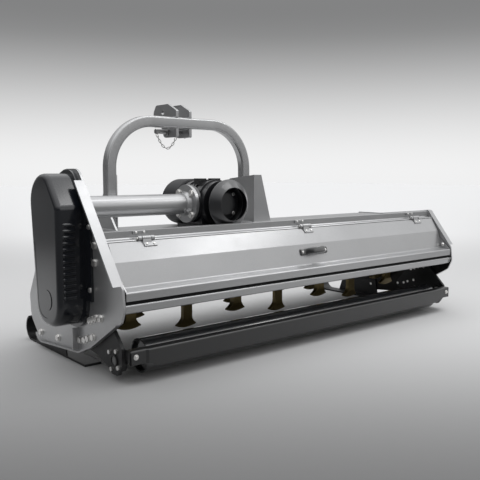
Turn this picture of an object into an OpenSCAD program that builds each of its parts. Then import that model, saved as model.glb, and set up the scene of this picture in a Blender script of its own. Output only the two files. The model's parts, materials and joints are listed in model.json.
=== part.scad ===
// Tractor-mounted flail mower with an offset three-point hitch.
// X runs across the cutting width, Y points ahead to the tractor, Z is up.

/* [Frame] */
// Clear width between the two side plates
cutting_w = 1760; // [1500:10:2000]
// Thickness of the side plates
side_t = 8; // [6:1:10]
// Width of the rim folded outwards round a side plate
rim_w = 34; // [24:1:40]
// Thickness of the rim
rim_t = 6; // [4:1:8]
// Thickness of the deck and front sheets
sheet_t = 6; // [4:1:8]
// Height of the deck's upper face
deck_z = 443; // [438:1:450]
// Height of the hinge bar's upper face
bar_top_z = 468; // [462:1:474]

/* [Rotor] */
// Height of the rotor axis
rotor_z = 235; // [230:1:245]
// Outer diameter of the rotor tube
rotor_d = 95; // [85:1:96]
// Wall of the rotor tube
rotor_wall = 12; // [8:1:16]
// Radius of the hammer pivots
pivot_r = 70; // [69:1:76]
// Number of hammers
hammer_n = 18; // [18:1:18]
// Clear gap between the cutting edges of neighbouring hammers
hammer_gap = 6; // [4:0.5:10]
// Width of a hammer's shank
shank_w = 40; // [34:1:44]
// Thickness of a hammer's shank
shank_t = 20; // [16:1:24]
// Length from pivot to cutting edge
hammer_l = 105; // [95:1:110]
// Diameter of the hammer bolts
hammer_bolt_d = 16; // [12:1:18]
// Thickness of a hammer lug
lug_t = 9; // [6:1:10]
// Swing of a hammer to either side of the radial line, degrees
hammer_swing = 110; // [90:1:110]

/* [Drive] */
// Distance between the rotor axis and the cross shaft axis
drive_centres = 303; // [295:1:310]
// Diameter of the cross shaft
shaft_d = 35; // [30:1:36]
// Pitch diameter of the upper pulley
pulley_up_d = 140; // [126:1:140]
// Pitch diameter of the lower pulley
pulley_low_d = 90; // [84:1:100]
// Number of drive belts
belt_n = 3; // [2:1:3]
// Spacing of the drive belts
belt_pitch = 15.5; // [15:0.5:16]
// Depth of the belt cover
cover_depth = 102; // [98:1:110]
// Wall of the belt cover
cover_wall = 4; // [3:0.5:5]
// Teeth of the bevel pinion
pinion_teeth = 12; // [12:1:12]
// Teeth of the crown gear
crown_teeth = 30; // [30:1:30]
// Module of the bevel gears
gear_module = 4; // [3.8:0.1:4.1]
// Diameter of the tractor shaft stub
stub_d = 35; // [30:1:36]
// Diameter of the tube round the cross shaft
tube_d = 76; // [70:1:84]

/* [Hitch] */
// Distance of the hitch centre from the middle of the cutting width
hitch_offset = 325; // [280:5:360]
// Outer width of the hitch hoop
hoop_w = 704; // [680:2:730]
// Height of the hoop's top
hoop_top_z = 876; // [860:1:890]
// Width of the hoop's tube
hoop_tube_w = 44; // [40:1:50]
// Depth of the hoop's tube
hoop_tube_d = 38; // [34:1:40]
// Outer bend radius of the hoop
hoop_bend_r = 205; // [180:5:230]
// Clear gap between the top link ears
ear_gap = 52; // [46:1:60]
// Thickness of a top link ear
ear_t = 12; // [8:1:14]
// Diameter of the top link pin
top_pin_d = 19; // [16:0.5:20]
// Diameter of the lower link pins
low_pin_d = 22; // [20:0.5:28]

/* [Flap] */
// Thickness of the rear flap's sheet
flap_t = 4; // [3:0.5:5]
// Diameter of the flap's hinge pins
hinge_pin_d = 8; // [6:0.5:9]
// Distance of the outer hinges from the side plates
hinge_inset = 143; // [110:1:180]

/* [Roller and skids] */
// Diameter of the rear roller
roller_d = 112; // [104:1:116]
// Wall of the rear roller
roller_wall = 5; // [4:1:8]
// Height of the roller's axis
roller_z = 70; // [66:1:74]
// Thickness of the roller brackets
bracket_t = 12; // [8:1:14]
// Width of a skid's sole
skid_w = 62; // [50:1:70]
// Thickness of a skid's sole
skid_t = 8; // [6:1:10]

/* [Hidden] */
$fn = 48;

// Clearances
run_gap = 0.05;
play = 0.3;
hole_gap = 0.4;

// Main planes
side_x = cutting_w / 2;
outer_x = side_x + side_t;
shaft_z = rotor_z + drive_centres;
hitch_x = -hitch_offset;
cover_x = -outer_x - cover_depth;
end_gap = 16;
hammer_pitch = (cutting_w - 2 * end_gap) / hammer_n;
hammer_w = hammer_pitch - hammer_gap;
hinge_x = side_x - hinge_inset;
boss_h = 2;

// The bounding box's middle is the origin
ski_tip_y = 470;
scraper_y = -326;
frame_shift = [-(cover_x - boss_h + outer_x + rim_w) / 2, -(ski_tip_y + scraper_y) / 2, 0];

// Side plate outlines as [y, z, corner radius]
slope_lean = 0.765;
slope_foot = [-314, 306];
function slope_y(z) = slope_foot[0] + (z - slope_foot[1]) * slope_lean;
low_outline = [
    [slope_foot[0], slope_foot[1], 18], [-322, 240, 30], [-303, 198, 12], [-117, 86, 50],
    [-28, 50, 60], [305, 22, 60], [392, 105, 70], [399, 190, 40]];
tower_top_z = shaft_z + 130;
left_outline = concat(low_outline, [
    [240, deck_z + 12, 50], [150, shaft_z + 2, 50], [140, tower_top_z, 105],
    [slope_y(tower_top_z), tower_top_z, 55]]);
right_outline = concat(low_outline, [
    [240, deck_z + 12, 30], [slope_y(bar_top_z + 6), bar_top_z + 6, 12]]);
deck_front = 225;

// Flap section as [y, z]
flap_start = [slope_y(435) + 6, 435];
flap_crease = [-247, 377];
flap_foot = [-270, 299];
flap_lip = [-317, 294];
flap_end = [-316, 266];
hinge_y = slope_y(440) + 4;
hinge_z = 444;
knuckle_r = hinge_pin_d / 2 + 4;
hinge_w = 64;
flap_gap = 5;

// Roller and its brackets
roller_y = -244;
roller_gap = 78;
roller_half = side_x - bracket_t - roller_gap;
axle_d = 30;
bracket_bolts = [
    [-176, 193], [-146, 189], [-124, 181], [-104, 174], [-121, 121], [-86, 110], [-63, 101], [-27, 94]];
plate_bolts = [[-146, 424], [-143, 368]];
bolt_d = 12;
skid_bolts = [[150, 66], [300, 58]];

// Section of the rear crossbar
crossbar_top = 256;
crossbar_low = 226;
crossbar_rear = -318;
crossbar_front = -280;
crossbar_lean = 8;
crossbar_t = 5;
seal_w = 29;
seal_inset = 3;

// Hitch
hoop_y = 157;
leg_x = hoop_w / 2 - hoop_tube_w / 2;
ear_x = ear_gap / 2;
ear_hole = [257, 900];
top_pin = [222, 820];
low_pin_z = top_pin[1] - 460;
low_pin_y = 336;

// Gear sizes
pinion_r = gear_module * pinion_teeth / 2;
crown_r = gear_module * crown_teeth / 2;
face_w = 17;
tooth_up = 0.75 * gear_module;
tooth_down = 1.15 * gear_module;
tooth_share = 0.35;

// Gearbox
box_wall = 10;
gear_gap = 14;
box_half = crown_r + gear_gap + box_wall;
foot_half = box_half + 11;
flange_x = hitch_x - foot_half;
flange_r = 72;
flange_t = 14;
flange_bolt_r = 58;
cap_bolt_r = 50.5;
bearing_w = 18;
box_bearing_r = 40;
box_end = 22;
box_bearing_y = box_half - 8;

// Belt drive
bearing_h = 30;
pulley_w = (belt_n - 1) * belt_pitch + 20;
pulley_x = -outer_x - bearing_h - 5;
belt_top = 12.6;
belt_h = 9;
groove_rise = 2.8;
cover_outline = [
    [88, rotor_z - 84, 74], [132, shaft_z + 114, 96], [-12, shaft_z + 114, 50],
    [-94, shaft_z + 8, 30], [-90, rotor_z - 84, 78]];

// Plane geometry helpers
function unit(v) = v / norm(v);
function flat(p) = [p[0], p[1]];
function left_of(d) = [-d[1], d[0]];
// Points of the arc that rounds corner b between a and c
function corner(a, b, c, r, n) = r <= 0 ? [b] :
    let (u = unit(a - b), w = unit(c - b), half = acos(u * w) / 2,
         mid = b + unit(u + w) * r / sin(half),
         p = b + u * r / tan(half) - mid, q = b + w * r / tan(half) - mid,
         from = atan2(p[1], p[0]), turn = (atan2(q[1], q[0]) - from + 540) % 360 - 180)
    [for (i = [0:n]) mid + r * [cos(from + turn * i / n), sin(from + turn * i / n)]];
// Closed outline with rounded corners
function loop(pts, n = 6) = let (m = len(pts))
    [for (i = [0:m - 1]) each corner(flat(pts[(i + m - 1) % m]), flat(pts[i]),
        flat(pts[(i + 1) % m]), pts[i][2], n)];
// Open line with rounded corners
function bent(pts, n = 6) = let (m = len(pts)) concat([flat(pts[0])],
    [for (i = [1:m - 2]) each corner(flat(pts[i - 1]), flat(pts[i]), flat(pts[i + 1]), pts[i][2], n)],
    [flat(pts[m - 1])]);
function mitre(d0, d1) = let (n0 = left_of(d0), m = unit(n0 + left_of(d1))) m / (m * n0);
// Closed outline moved inwards by t
function inset(pts, t) = let (m = len(pts))
    [for (i = [0:m - 1]) pts[i] + t * mitre(unit(pts[i] - pts[(i + m - 1) % m]),
        unit(pts[(i + 1) % m] - pts[i]))];
// Sheet section of thickness t to the left of a line
function strip(pts, t) = let (m = len(pts), d = [for (i = [0:m - 2]) unit(pts[i + 1] - pts[i])])
    concat(pts, [for (i = [m - 1:-1:0])
        pts[i] + t * mitre(d[max(i - 1, 0)], d[min(i, m - 2)])]);

// Solid helpers
// Drawing in the YZ plane, thickened from x0 towards +X
module along_x(x0, len) translate([x0, 0, 0]) rotate([90, 0, 90]) linear_extrude(len) children();
// Drawing in the XZ plane, thickened from y0 towards +Y
module along_y(y0, len) translate([0, y0 + len, 0]) rotate([90, 0, 0]) linear_extrude(len) children();
module rod_x(x0, len, y, z, r) translate([x0, y, z]) rotate([0, 90, 0]) cylinder(len, r, r);
module rod_y(x, y0, len, z, r) translate([x, y0, z]) rotate([-90, 0, 0]) cylinder(len, r, r);
module both_sides() {
    children();
    mirror([1, 0, 0]) children();
}
// Hexagon bolt along X: head from x0 outwards, shank the other way
module bolt_x(x0, dir, y, z, d, shank) {
    translate([x0, y, z]) rotate([0, 90 * dir, 0]) cylinder(d * 0.65, d * 0.95, d * 0.95, $fn = 6);
    translate([x0, y, z]) rotate([0, -90 * dir, 0]) cylinder(shank, d / 2, d / 2);
}

// Deck and plates
module deck_sheet() color("silver")
    translate([-side_x, bar_front, deck_z - sheet_t])
        difference() {
            cube([cutting_w, deck_front - bar_front, sheet_t]);
            translate([hitch_x + side_x, -bar_front, -1]) cylinder(sheet_t + 2, 20, 20);
        }

bar_front = slope_y(bar_top_z) + 36;
bar_rear_low = slope_y(deck_z - sheet_t) + 4;
module hinge_bar() color("silver") difference() {
    union() {
        along_x(-side_x, cutting_w) polygon([
            [slope_y(bar_top_z) + 4, bar_top_z], [bar_front, bar_top_z],
            [bar_front, deck_z - sheet_t], [bar_rear_low, deck_z - sheet_t]]);
        for (x = [-hinge_x, 0, hinge_x]) for (s = [-1, 1])
            rod_x(x + s * hinge_w * 3 / 8 - hinge_w / 8 + 0.5, hinge_w / 4 - 1, hinge_y, hinge_z, knuckle_r);
    }
    for (x = [-hinge_x, 0, hinge_x]) {
        rod_x(x - hinge_w, hinge_w * 2, hinge_y, hinge_z, hinge_pin_d / 2 + run_gap);
        rod_x(x - hinge_w / 4 - 0.5, hinge_w / 2 + 1, hinge_y, hinge_z, knuckle_r + 1.5);
    }
}
module hinge_pins() color("dimgray") for (x = [-hinge_x, 0, hinge_x])
    rod_x(x - hinge_w / 2 - 3, hinge_w + 6, hinge_y, hinge_z, hinge_pin_d / 2);

panel_top = [deck_front, deck_z - sheet_t];
panel_low = [376, 206];
panel_dir = unit(panel_low - panel_top);
panel_out = left_of(panel_dir);
module front_panel() color("silver")
    along_x(-side_x, cutting_w) polygon(strip(bent([
        [panel_top[0], panel_top[1]], [panel_low[0], panel_low[1], 10],
        [panel_low[0] - 34, panel_low[1] - 8]]), sheet_t));

module side_web(outline) difference() {
    polygon(loop(outline));
    translate([0, rotor_z]) circle(34);
    for (p = concat(bracket_bolts, skid_bolts, plate_bolts)) translate(p) circle(bolt_d / 2 + hole_gap);
}
// Rim folded outwards along the sloping rear edge of a side plate
rim_low_z = 314;
rim_top_z = shaft_z + 92;
module side_rim(outline) intersection() {
    difference() {
        polygon(loop(outline));
        polygon(inset(loop(outline), rim_t));
    }
    polygon([
        [slope_y(rim_low_z) - 30, rim_low_z], [slope_y(rim_low_z) + 30, rim_low_z],
        [slope_y(rim_top_z) + 30, rim_top_z], [slope_y(rim_top_z) - 30, rim_top_z]]);
}
// Narrow lip along the lower edge
lip_w = 10;
lip_top_z = 190;
lip_front = 330;
module side_lip(outline) intersection() {
    difference() {
        polygon(loop(outline));
        polygon(inset(loop(outline), rim_t));
    }
    translate([slope_foot[0], 0]) square([lip_front - slope_foot[0], lip_top_z]);
}
stay_w = 20;
stay_h = 76;
module left_side_plate() color("silver") {
    difference() {
        along_x(-outer_x, side_t) side_web(left_outline);
        rod_x(-outer_x - 1, side_t + 2, 0, shaft_z, shaft_d / 2 + 6);
        for (p = cover_bolts) rod_x(-outer_x - 1, side_t + 2, p[0], p[1], 4 + hole_gap);
    }
    along_x(-outer_x - rim_w, rim_w) side_rim(left_outline);
    along_x(-outer_x - lip_w, lip_w) side_lip(left_outline);
    along_x(-outer_x - stay_w, stay_w) translate([-10, 57]) square([rim_t, stay_h]);
}
module right_side_plate() color("silver") {
    along_x(side_x, side_t) side_web(right_outline);
    along_x(outer_x, rim_w) side_rim(right_outline);
    along_x(outer_x, lip_w) side_lip(right_outline);
}

module rear_crossbar() color("silver")
    along_x(-side_x, cutting_w) polygon(strip(bent([
        [crossbar_front, crossbar_low - 3], [crossbar_rear + crossbar_lean, crossbar_low, 7],
        [crossbar_rear, crossbar_top, 7], [crossbar_front, crossbar_top]]), -crossbar_t));
module seal_strip() color("black")
    along_x(-side_x + flap_gap, cutting_w - 2 * flap_gap)
        translate([crossbar_rear + seal_inset, crossbar_top])
            square([seal_w, flap_end[1] - crossbar_top - play]);

// Hitch
// Section of the hoop's tube with its wall taken off by t
tube_corner = 9;
hoop_wall = 4;
function tube_outline(w, d, r) = loop([[-w, -d, r], [w, -d, r], [w, d, r], [-w, d, r]], 4);
module hoop_section(t) polygon(tube_outline(hoop_tube_w / 2 - t, hoop_tube_d / 2 - t, tube_corner - t));
module hoop_line(t, drop) {
    bend = hoop_bend_r - hoop_tube_w / 2;
    top = hoop_top_z - hoop_tube_w / 2;
    translate([hitch_x, hoop_y + hoop_tube_d / 2, 0]) {
        for (s = [-1, 1]) {
            translate([s * leg_x, 0, deck_z - drop]) linear_extrude(top - bend - deck_z + drop)
                hoop_section(t);
            translate([s * (leg_x - bend), 0, top - bend]) rotate([90, s > 0 ? 0 : -90, 0])
                rotate_extrude(angle = 90) translate([bend, 0]) hoop_section(t);
        }
        translate([-leg_x + bend, 0, top]) rotate([0, 90, 0]) linear_extrude(2 * (leg_x - bend))
            hoop_section(t);
    }
}
module hitch_hoop() color("silver") difference() {
    hoop_line(0, 0);
    hoop_line(hoop_wall, 1);
}
// Cheek plate beside each leg of the hoop, folded outwards at the rear and led down over the front panel
brace_top_z = 646;
brace_rear = 72;
brace_t = 8;
brace_fold_w = [42, 98];
function brace_outline(rear) = concat(
    [[rear, deck_z, 0], [deck_front, deck_z, 0], on_panel(0), on_panel(175)],
    [[low_pin_y + 28, low_pin_z - 34, 24], [low_pin_y + 28, low_pin_z + 30, 24],
     [245, brace_top_z - 17, 30], [rear, brace_top_z, 0]]);
function on_panel(s) = concat(panel_top + sheet_t * panel_out + s * panel_dir, [0]);
brace_x = leg_x - hoop_tube_w / 2 - brace_t;
module cheek(rear) difference() {
    along_x(brace_x, brace_t) polygon(loop(brace_outline(rear)));
    rod_x(brace_x - 1, brace_t + 2, low_pin_y, low_pin_z, low_pin_d / 2 + run_gap);
}
// The right cheek has the fold; the left one starts at its leg and has a gusset on the leg's other side
gusset_top = [hoop_y, 534];
module hitch_brackets() color("silver") translate([hitch_x, 0, 0]) {
    cheek(brace_rear);
    along_y(brace_rear, brace_t) polygon([
        [brace_x, deck_z], [brace_x + brace_fold_w[1], deck_z],
        [brace_x + brace_fold_w[0], brace_top_z], [brace_x, brace_top_z]]);
    mirror([1, 0, 0]) cheek(hoop_y);
    along_x(-hoop_w / 2 - brace_t, brace_t) polygon([
        [brace_rear + 9, deck_z], [deck_front, deck_z],
        [gusset_top[0] + hoop_tube_d, gusset_top[1]], gusset_top]);
}
ear_outline = [
    [hoop_y + 2, 797, 6], [250, 797, 20], [262, 836, 14], [318, 852, 22], [326, 902, 18],
    [306, 932, 12], [218, 932, 8], [hoop_y + 2, 903, 6]];
module top_link_ears() color("silver") translate([hitch_x, 0, 0]) both_sides()
    difference() {
        along_x(ear_x, ear_t) polygon(loop(ear_outline, 5));
        translate([ear_x - 1, hoop_y - 5, hoop_top_z - hoop_tube_w])
            cube([ear_t + 2, hoop_tube_d + 5, hoop_tube_w]);
        rod_x(ear_x - 1, ear_t + 2, ear_hole[0], ear_hole[1], top_pin_d / 2 + hole_gap);
        rod_x(ear_x - 1, ear_t + 2, top_pin[0], top_pin[1], top_pin_d / 2 + hole_gap / 2);
    }
top_pin_out = 58;
module top_link_pin() color("gray") {
    rod_x(hitch_x - ear_x - ear_t - top_pin_out, 2 * (ear_x + ear_t) + top_pin_out + 22,
        top_pin[0], top_pin[1], top_pin_d / 2);
    rod_x(hitch_x - ear_x - ear_t - 8, 8 - play, top_pin[0], top_pin[1], top_pin_d / 2 + 7);
    translate([hitch_x + ear_x + ear_t + 10, top_pin[0], top_pin[1] - 24])
        cylinder(48, 3, 3);
}
// Chain of the pin, as a hanging line between its two eyes
chain_r = 2;
chain_lead = 0.9;
chain_from = [
    hitch_x - ear_x - ear_t - top_pin_out + 6, top_pin[0], top_pin[1] - top_pin_d / 2 - chain_lead];
chain_to = [hitch_x - ear_x - ear_t / 2, hoop_y + 12, 797 - chain_lead];
chain_drop = 50;
chain_rings = 18;
function chain_at(t) = chain_from + (chain_to - chain_from) * t - [0, 0, 4 * chain_drop * t * (1 - t)];
module pin_chain() color("silver") {
    side = unit(cross(chain_to - chain_from, [0, 0, 1]));
    pts = [for (i = [0:chain_rings]) let (t = i / chain_rings,
        d = unit(chain_at(t + 0.01) - chain_at(t - 0.01)), up = cross(d, side))
        for (a = [0:45:315]) chain_at(t) + chain_r * (cos(a) * side + sin(a) * up)];
    polyhedron(pts, concat(
        [[for (k = [7:-1:0]) k]],
        [for (i = [0:chain_rings - 1]) for (k = [0:7]) let (a = i * 8, j = (k + 1) % 8)
            each [[a + k, a + j, a + 8 + j], [a + k, a + 8 + j, a + 8 + k]]],
        [[for (k = [0:7]) chain_rings * 8 + k]]));
}
low_pin_free = 72;
module lower_link_pins() color("gray") translate([hitch_x, 0, 0]) both_sides() {
    rod_x(brace_x - 14, brace_t + 14 + low_pin_free, low_pin_y, low_pin_z, low_pin_d / 2);
    rod_x(brace_x + brace_t, 8, low_pin_y, low_pin_z, low_pin_d / 2 + 7);
    translate([brace_x - 14, low_pin_y, low_pin_z]) rotate([0, 90, 0])
        cylinder(14, low_pin_d * 0.85, low_pin_d * 0.85, $fn = 6);
}

// Gearbox
module gearbox_housing() color("#222222") difference() {
    union() {
        rod_y(hitch_x, -box_half, 2 * box_half, shaft_z, box_half + 2);
        rod_y(hitch_x, -box_half - 12, 2 * box_half + 24, shaft_z, 60);
        rod_x(flange_x, hitch_x - flange_x, 0, shaft_z, 56);
        rod_x(flange_x, 12, 0, shaft_z, flange_r);
        for (a = [0:45:315]) translate([flange_x + 10, 0, shaft_z]) rotate([a, 0, 0])
            translate([0, -4, 0]) cube([40, 8, flange_r - 6]);
        for (y = [-1, 0, 1]) translate([hitch_x, y * 48 - 4, shaft_z]) rotate([-90, 0, 0])
            cylinder(8, box_half + 7, box_half + 7);
        for (dx = [-38, 30]) translate([hitch_x + dx - 17, -17, shaft_z]) cube([34, 34, box_half + 11]);
        translate([hitch_x - box_half + 8, -box_half + 24, deck_z])
            cube([2 * box_half - 16, 2 * box_half - 48, shaft_z - deck_z - 30]);
        translate([hitch_x - foot_half, -foot_half + 20, deck_z])
            cube([2 * foot_half, 2 * foot_half - 40, 16]);
    }
    rod_y(hitch_x, -box_half + box_end, 2 * (box_half - box_end), shaft_z, box_half - box_wall);
    rod_y(hitch_x, -box_half - 13, 2 * box_half + 26, shaft_z, box_bearing_r + run_gap);
    rod_x(flange_x - 1, hitch_x - flange_x, 0, shaft_z, 36 + run_gap);
    for (a = [45:90:315]) rotate_about_shaft(a)
        rod_x(flange_x - 1, 20, 0, shaft_z + flange_bolt_r, 6 + hole_gap);
}
module rotate_about_shaft(a)
    translate([0, 0, shaft_z]) rotate([a, 0, 0]) translate([0, 0, -shaft_z]) children();
module gearbox_rear_cap() color("#1c1c1c") {
    rod_y(hitch_x, -box_half - 22, 10, shaft_z, 62);
    rod_y(hitch_x, -box_half - 34, 12, shaft_z, 40);
    for (a = [45:90:315]) translate([hitch_x, -box_half - 22, shaft_z]) rotate([90, a, 0])
        translate([cap_bolt_r, 0, 0]) cylinder(6, 7, 7, $fn = 6);
}
module ring_x(x0, w, z, ri, ro) difference() {
    rod_x(x0, w, 0, z, ro);
    rod_x(x0 - 1, w + 2, 0, z, ri);
}
module gearbox_bearings() color("lightgray") {
    ring_x(flange_x + 8, bearing_w, shaft_z, shaft_d / 2 + run_gap, 36);
    for (s = [-1, 1]) difference() {
        rod_y(hitch_x, s * box_bearing_y - bearing_w / 2, bearing_w, shaft_z, box_bearing_r);
        rod_y(hitch_x, s * box_bearing_y - bearing_w, 2 * bearing_w, shaft_z, stub_d / 2 + run_gap);
    }
}
guard_rim_y = -160;
module rear_guard_cone() color("#2b2b2b") translate([hitch_x, -box_half - 22, shaft_z]) rotate([90, 0, 0])
    rotate_extrude($fn = 96) polygon(strip(bent([
        [62 + run_gap, -8], [93, -8, 6], [90, 22, 30], [63, -guard_rim_y - box_half - 22]], 8), 4));
module front_guard() color("#2b2b2b") translate([hitch_x, box_half + 12, shaft_z]) rotate([-90, 0, 0])
    rotate_extrude($fn = 96) polygon(strip(bent([[60 + run_gap, -6], [93, -6, 8], [91, 96]], 6), 4));
module shaft_tube() color("silver") difference() {
    union() {
        rod_x(-side_x, flange_x + side_x, 0, shaft_z, tube_d / 2);
        rod_x(flange_x - flange_t, flange_t, 0, shaft_z, flange_r);
        translate([flange_x - flange_t - 16, 0, shaft_z]) rotate([0, 90, 0])
            cylinder(16, tube_d / 2, tube_d / 2 + 8);
    }
    rod_x(-side_x - 1, flange_x + side_x + 2, 0, shaft_z, tube_d / 2 - 6);
    for (a = [45:90:315]) rotate_about_shaft(a)
        rod_x(flange_x - flange_t - 1, flange_t + 2, 0, shaft_z + flange_bolt_r, 6 + hole_gap);
}

// Shafts and gears
// Gear outline whose teeth are straight-sided, with its first tooth on +X
function gear_points(n, r, up, down, steep) = [for (i = [0:n - 1]) for (k = [0:3])
    let (pitch = 360 / n, radius = k == 0 || k == 3 ? r - down : r + up,
         half = (tooth_share * pitch + (radius < r ? down : -up) * steep * 360 / (PI * r)) / 2)
    radius * [cos(i * pitch + (k < 2 ? -half : half)), sin(i * pitch + (k < 2 ? -half : half))]];
flank = tan(20);
pinion_lean = atan2(pinion_r, crown_r);
module pinion() translate([hitch_x - crown_r, 0, shaft_z]) rotate([0, 90, 0])
    linear_extrude(face_w, scale = (crown_r - face_w) / crown_r)
        rotate(90) polygon(gear_points(pinion_teeth, pinion_r, tooth_up / cos(pinion_lean),
            tooth_down / cos(pinion_lean), flank * cos(pinion_lean)));
crown_face = face_w * pinion_r / crown_r;
crown_back = 2 * gear_module;
crown_disc = 8;
crown_rim = crown_r + 1.5;
module crown_gear() color("darkgray")
translate([hitch_x, pinion_r, shaft_z]) rotate([90, 0, 0]) difference() {
    union() {
        intersection() {
            translate([0, 0, -crown_back])
                linear_extrude(crown_face + crown_back,
                    scale = (pinion_r - crown_face) / (pinion_r + crown_back))
                    scale((pinion_r + crown_back) / pinion_r) rotate(180 + 180 / crown_teeth)
                        polygon(gear_points(crown_teeth, crown_r, tooth_up / sin(pinion_lean),
                            tooth_down / sin(pinion_lean), flank * sin(pinion_lean)));
            translate([0, 0, -crown_back]) cylinder(crown_face + crown_back, crown_rim, crown_rim);
        }
        translate([0, 0, -crown_back - crown_disc]) cylinder(crown_disc, crown_rim, crown_rim);
        translate([0, 0, -crown_back - crown_disc - 6]) cylinder(7, 32, 32);
    }
    translate([0, 0, -40]) cylinder(80, stub_d / 2 + run_gap, stub_d / 2 + run_gap);
    translate([0, 0, crown_face - 3]) cylinder(40, crown_r * 0.55, crown_r * 0.55);
}
module cross_shaft() color("darkgray") {
    rod_x(pulley_x - pulley_w - 4, hitch_x - crown_r + 2 - pulley_x + pulley_w + 4, 0, shaft_z, shaft_d / 2);
    pinion();
}
spline_n = 6;
stub_end = box_half + 82;
module tractor_shaft() color("darkgray") difference() {
    rod_y(hitch_x, -box_half - 4, stub_end + box_half + 4, shaft_z, stub_d / 2);
    for (i = [0:spline_n - 1])
        translate([hitch_x, stub_end - 70, shaft_z]) rotate([0, i * 360 / spline_n, 0]) translate([stub_d / 2 - 2.4, 0, -4.5]) cube([6, 72, 9]);
}

// Belt drive
module pulley(pitch_d, bore_d) difference() {
    rotate_extrude($fn = 96) polygon(concat(
        [[bore_d / 2 + run_gap, 0], [pitch_d / 2 + groove_rise, 0]],
        [for (i = [0:belt_n - 1]) let (z = 10 + i * belt_pitch) each [
            [pitch_d / 2 + groove_rise, z - belt_top / 2 - 0.5],
            [pitch_d / 2 - belt_h, z - belt_top / 2 + 2.6],
            [pitch_d / 2 - belt_h, z + belt_top / 2 - 2.6],
            [pitch_d / 2 + groove_rise, z + belt_top / 2 + 0.5]]],
        [[pitch_d / 2 + groove_rise, pulley_w], [bore_d / 2 + run_gap, pulley_w]]));
}
module upper_pulley() color("dimgray") translate([pulley_x, 0, shaft_z]) rotate([0, -90, 0])
    pulley(pulley_up_d, shaft_d);
module lower_pulley() color("dimgray") translate([pulley_x, 0, rotor_z]) rotate([0, -90, 0])
    pulley(pulley_low_d, rotor_shaft_d);
belt_lean = asin((pulley_up_d - pulley_low_d) / 2 / drive_centres);
belt_steps = 24;
// Turns of one belt as [pulley height, pitch radius, angle], all the way round
belt_turns = concat(
    [for (i = [0:belt_steps]) [0, pulley_low_d / 2,
        90 + belt_lean + (180 - 2 * belt_lean) * i / belt_steps]],
    [for (i = [0:belt_steps]) [drive_centres, pulley_up_d / 2,
        -90 - belt_lean + (180 + 2 * belt_lean) * i / belt_steps]]);
belt_section = [
    [groove_rise - 0.4, belt_top / 2 - 0.3], [0.6 - belt_h, belt_top / 2 - 3.1],
    [0.6 - belt_h, 3.1 - belt_top / 2], [groove_rise - 0.4, 0.3 - belt_top / 2]];
module belt() {
    n = len(belt_turns);
    polyhedron(
        [for (t = belt_turns) for (p = belt_section)
            [t[0] + (t[1] + p[0]) * cos(t[2]), (t[1] + p[0]) * sin(t[2]), p[1]]],
        [for (i = [0:n - 1]) for (k = [0:3]) let (a = i * 4, b = (i + 1) % n * 4, j = (k + 1) % 4)
            each [[a + k, a + j, b + j], [a + k, b + j, b + k]]]);
}
module drive_belts() color("#181818") for (i = [0:belt_n - 1])
    translate([pulley_x - 10 - i * belt_pitch, 0, rotor_z]) rotate([0, -90, 0]) belt();
// Solid through a row of sections, each [x, closed outline]
module loft(rings) {
    m = len(rings[0][1]);
    k = len(rings);
    polyhedron(
        [for (r = rings) for (p = r[1]) [r[0], p[0], p[1]]],
        concat([[for (i = [0:m - 1]) i]],
            [for (j = [0:k - 2]) for (i = [0:m - 1]) let (a = j * m + i, b = j * m + (i + 1) % m)
                each [[a, a + m, b + m], [a, b + m, b]]],
            [[for (i = [m - 1:-1:0]) (k - 1) * m + i]]));
}
// Cover: a moulded shell with a rounded outer edge, ribs at the rear and a panel on its face
edge_r = 18;
edge_steps = 5;
module cover_form(t, back) loft(concat(
    [for (i = [0:edge_steps]) let (a = 90 * i / edge_steps)
        [cover_x + t + (edge_r - t) * (1 - cos(a)),
         inset(loop(cover_outline, 8), t + (edge_r - t) * (1 - sin(a)))]
    ], [[-outer_x + back, inset(loop(cover_outline, 8), t)]]));
rib_n = 13;
rib_low = 254;
rib_pitch = 19.6;
rib_r = 7;
rib_y = -90;
rib_w = 38;
groove_w = 3;
groove_in = 26;
boss_r = 34;
boss_at = [-4, rotor_z + 4];
cover_bolt_y = -123;
cover_bolts = [[cover_bolt_y, rib_low + 24], [cover_bolt_y, rib_low + 228]];
module cover_rib(z) {
    rod_x(cover_x + edge_r + 4, rib_w, rib_y, z, rib_r);
    translate([cover_x + edge_r, rib_y, z]) rotate([0, 90, 0]) cylinder(4, rib_r - 3, rib_r);
}
module belt_cover() color("#151515") difference() {
    union() {
        cover_form(0, 0);
        along_x(-outer_x - 12, 12) polygon(inset(loop(cover_outline, 8), -12));
        translate([-outer_x - 8, cover_bolt_y - 9, rib_low - 14]) cube([8, 70, rib_n * rib_pitch]);
        for (i = [0:rib_n - 1]) cover_rib(rib_low + i * rib_pitch);
        rod_x(cover_x - boss_h, boss_h + 3, boss_at[0], boss_at[1], boss_r);
    }
    cover_form(cover_wall, 1);
    along_x(cover_x - 1, 2.5) intersection() {
        difference() {
            polygon(inset(loop(cover_outline, 8), groove_in));
            polygon(inset(loop(cover_outline, 8), groove_in + groove_w));
        }
        translate([0, rotor_z - 60]) square([200, 250]);
    }
    for (p = cover_bolts) rod_x(-outer_x - 20, 30, p[0], p[1], 4 + hole_gap);
}
module flange_bearing(bore_d) difference() {
    union() {
        linear_extrude(12) polygon(loop([[-56, -56, 16], [56, -56, 16], [56, 56, 16], [-56, 56, 16]]));
        cylinder(bearing_h, 42, 40);
    }
    translate([0, 0, -1]) cylinder(bearing_h + 2, bore_d / 2 + run_gap, bore_d / 2 + run_gap);
}
module shaft_bearings() color("#30343a") {
    translate([-outer_x, 0, rotor_z]) rotate([0, -90, 0]) flange_bearing(rotor_shaft_d);
    translate([-outer_x, 0, shaft_z]) rotate([0, -90, 0]) flange_bearing(shaft_d);
    translate([outer_x, 0, rotor_z]) rotate([0, 90, 0]) flange_bearing(rotor_shaft_d);
}

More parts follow.
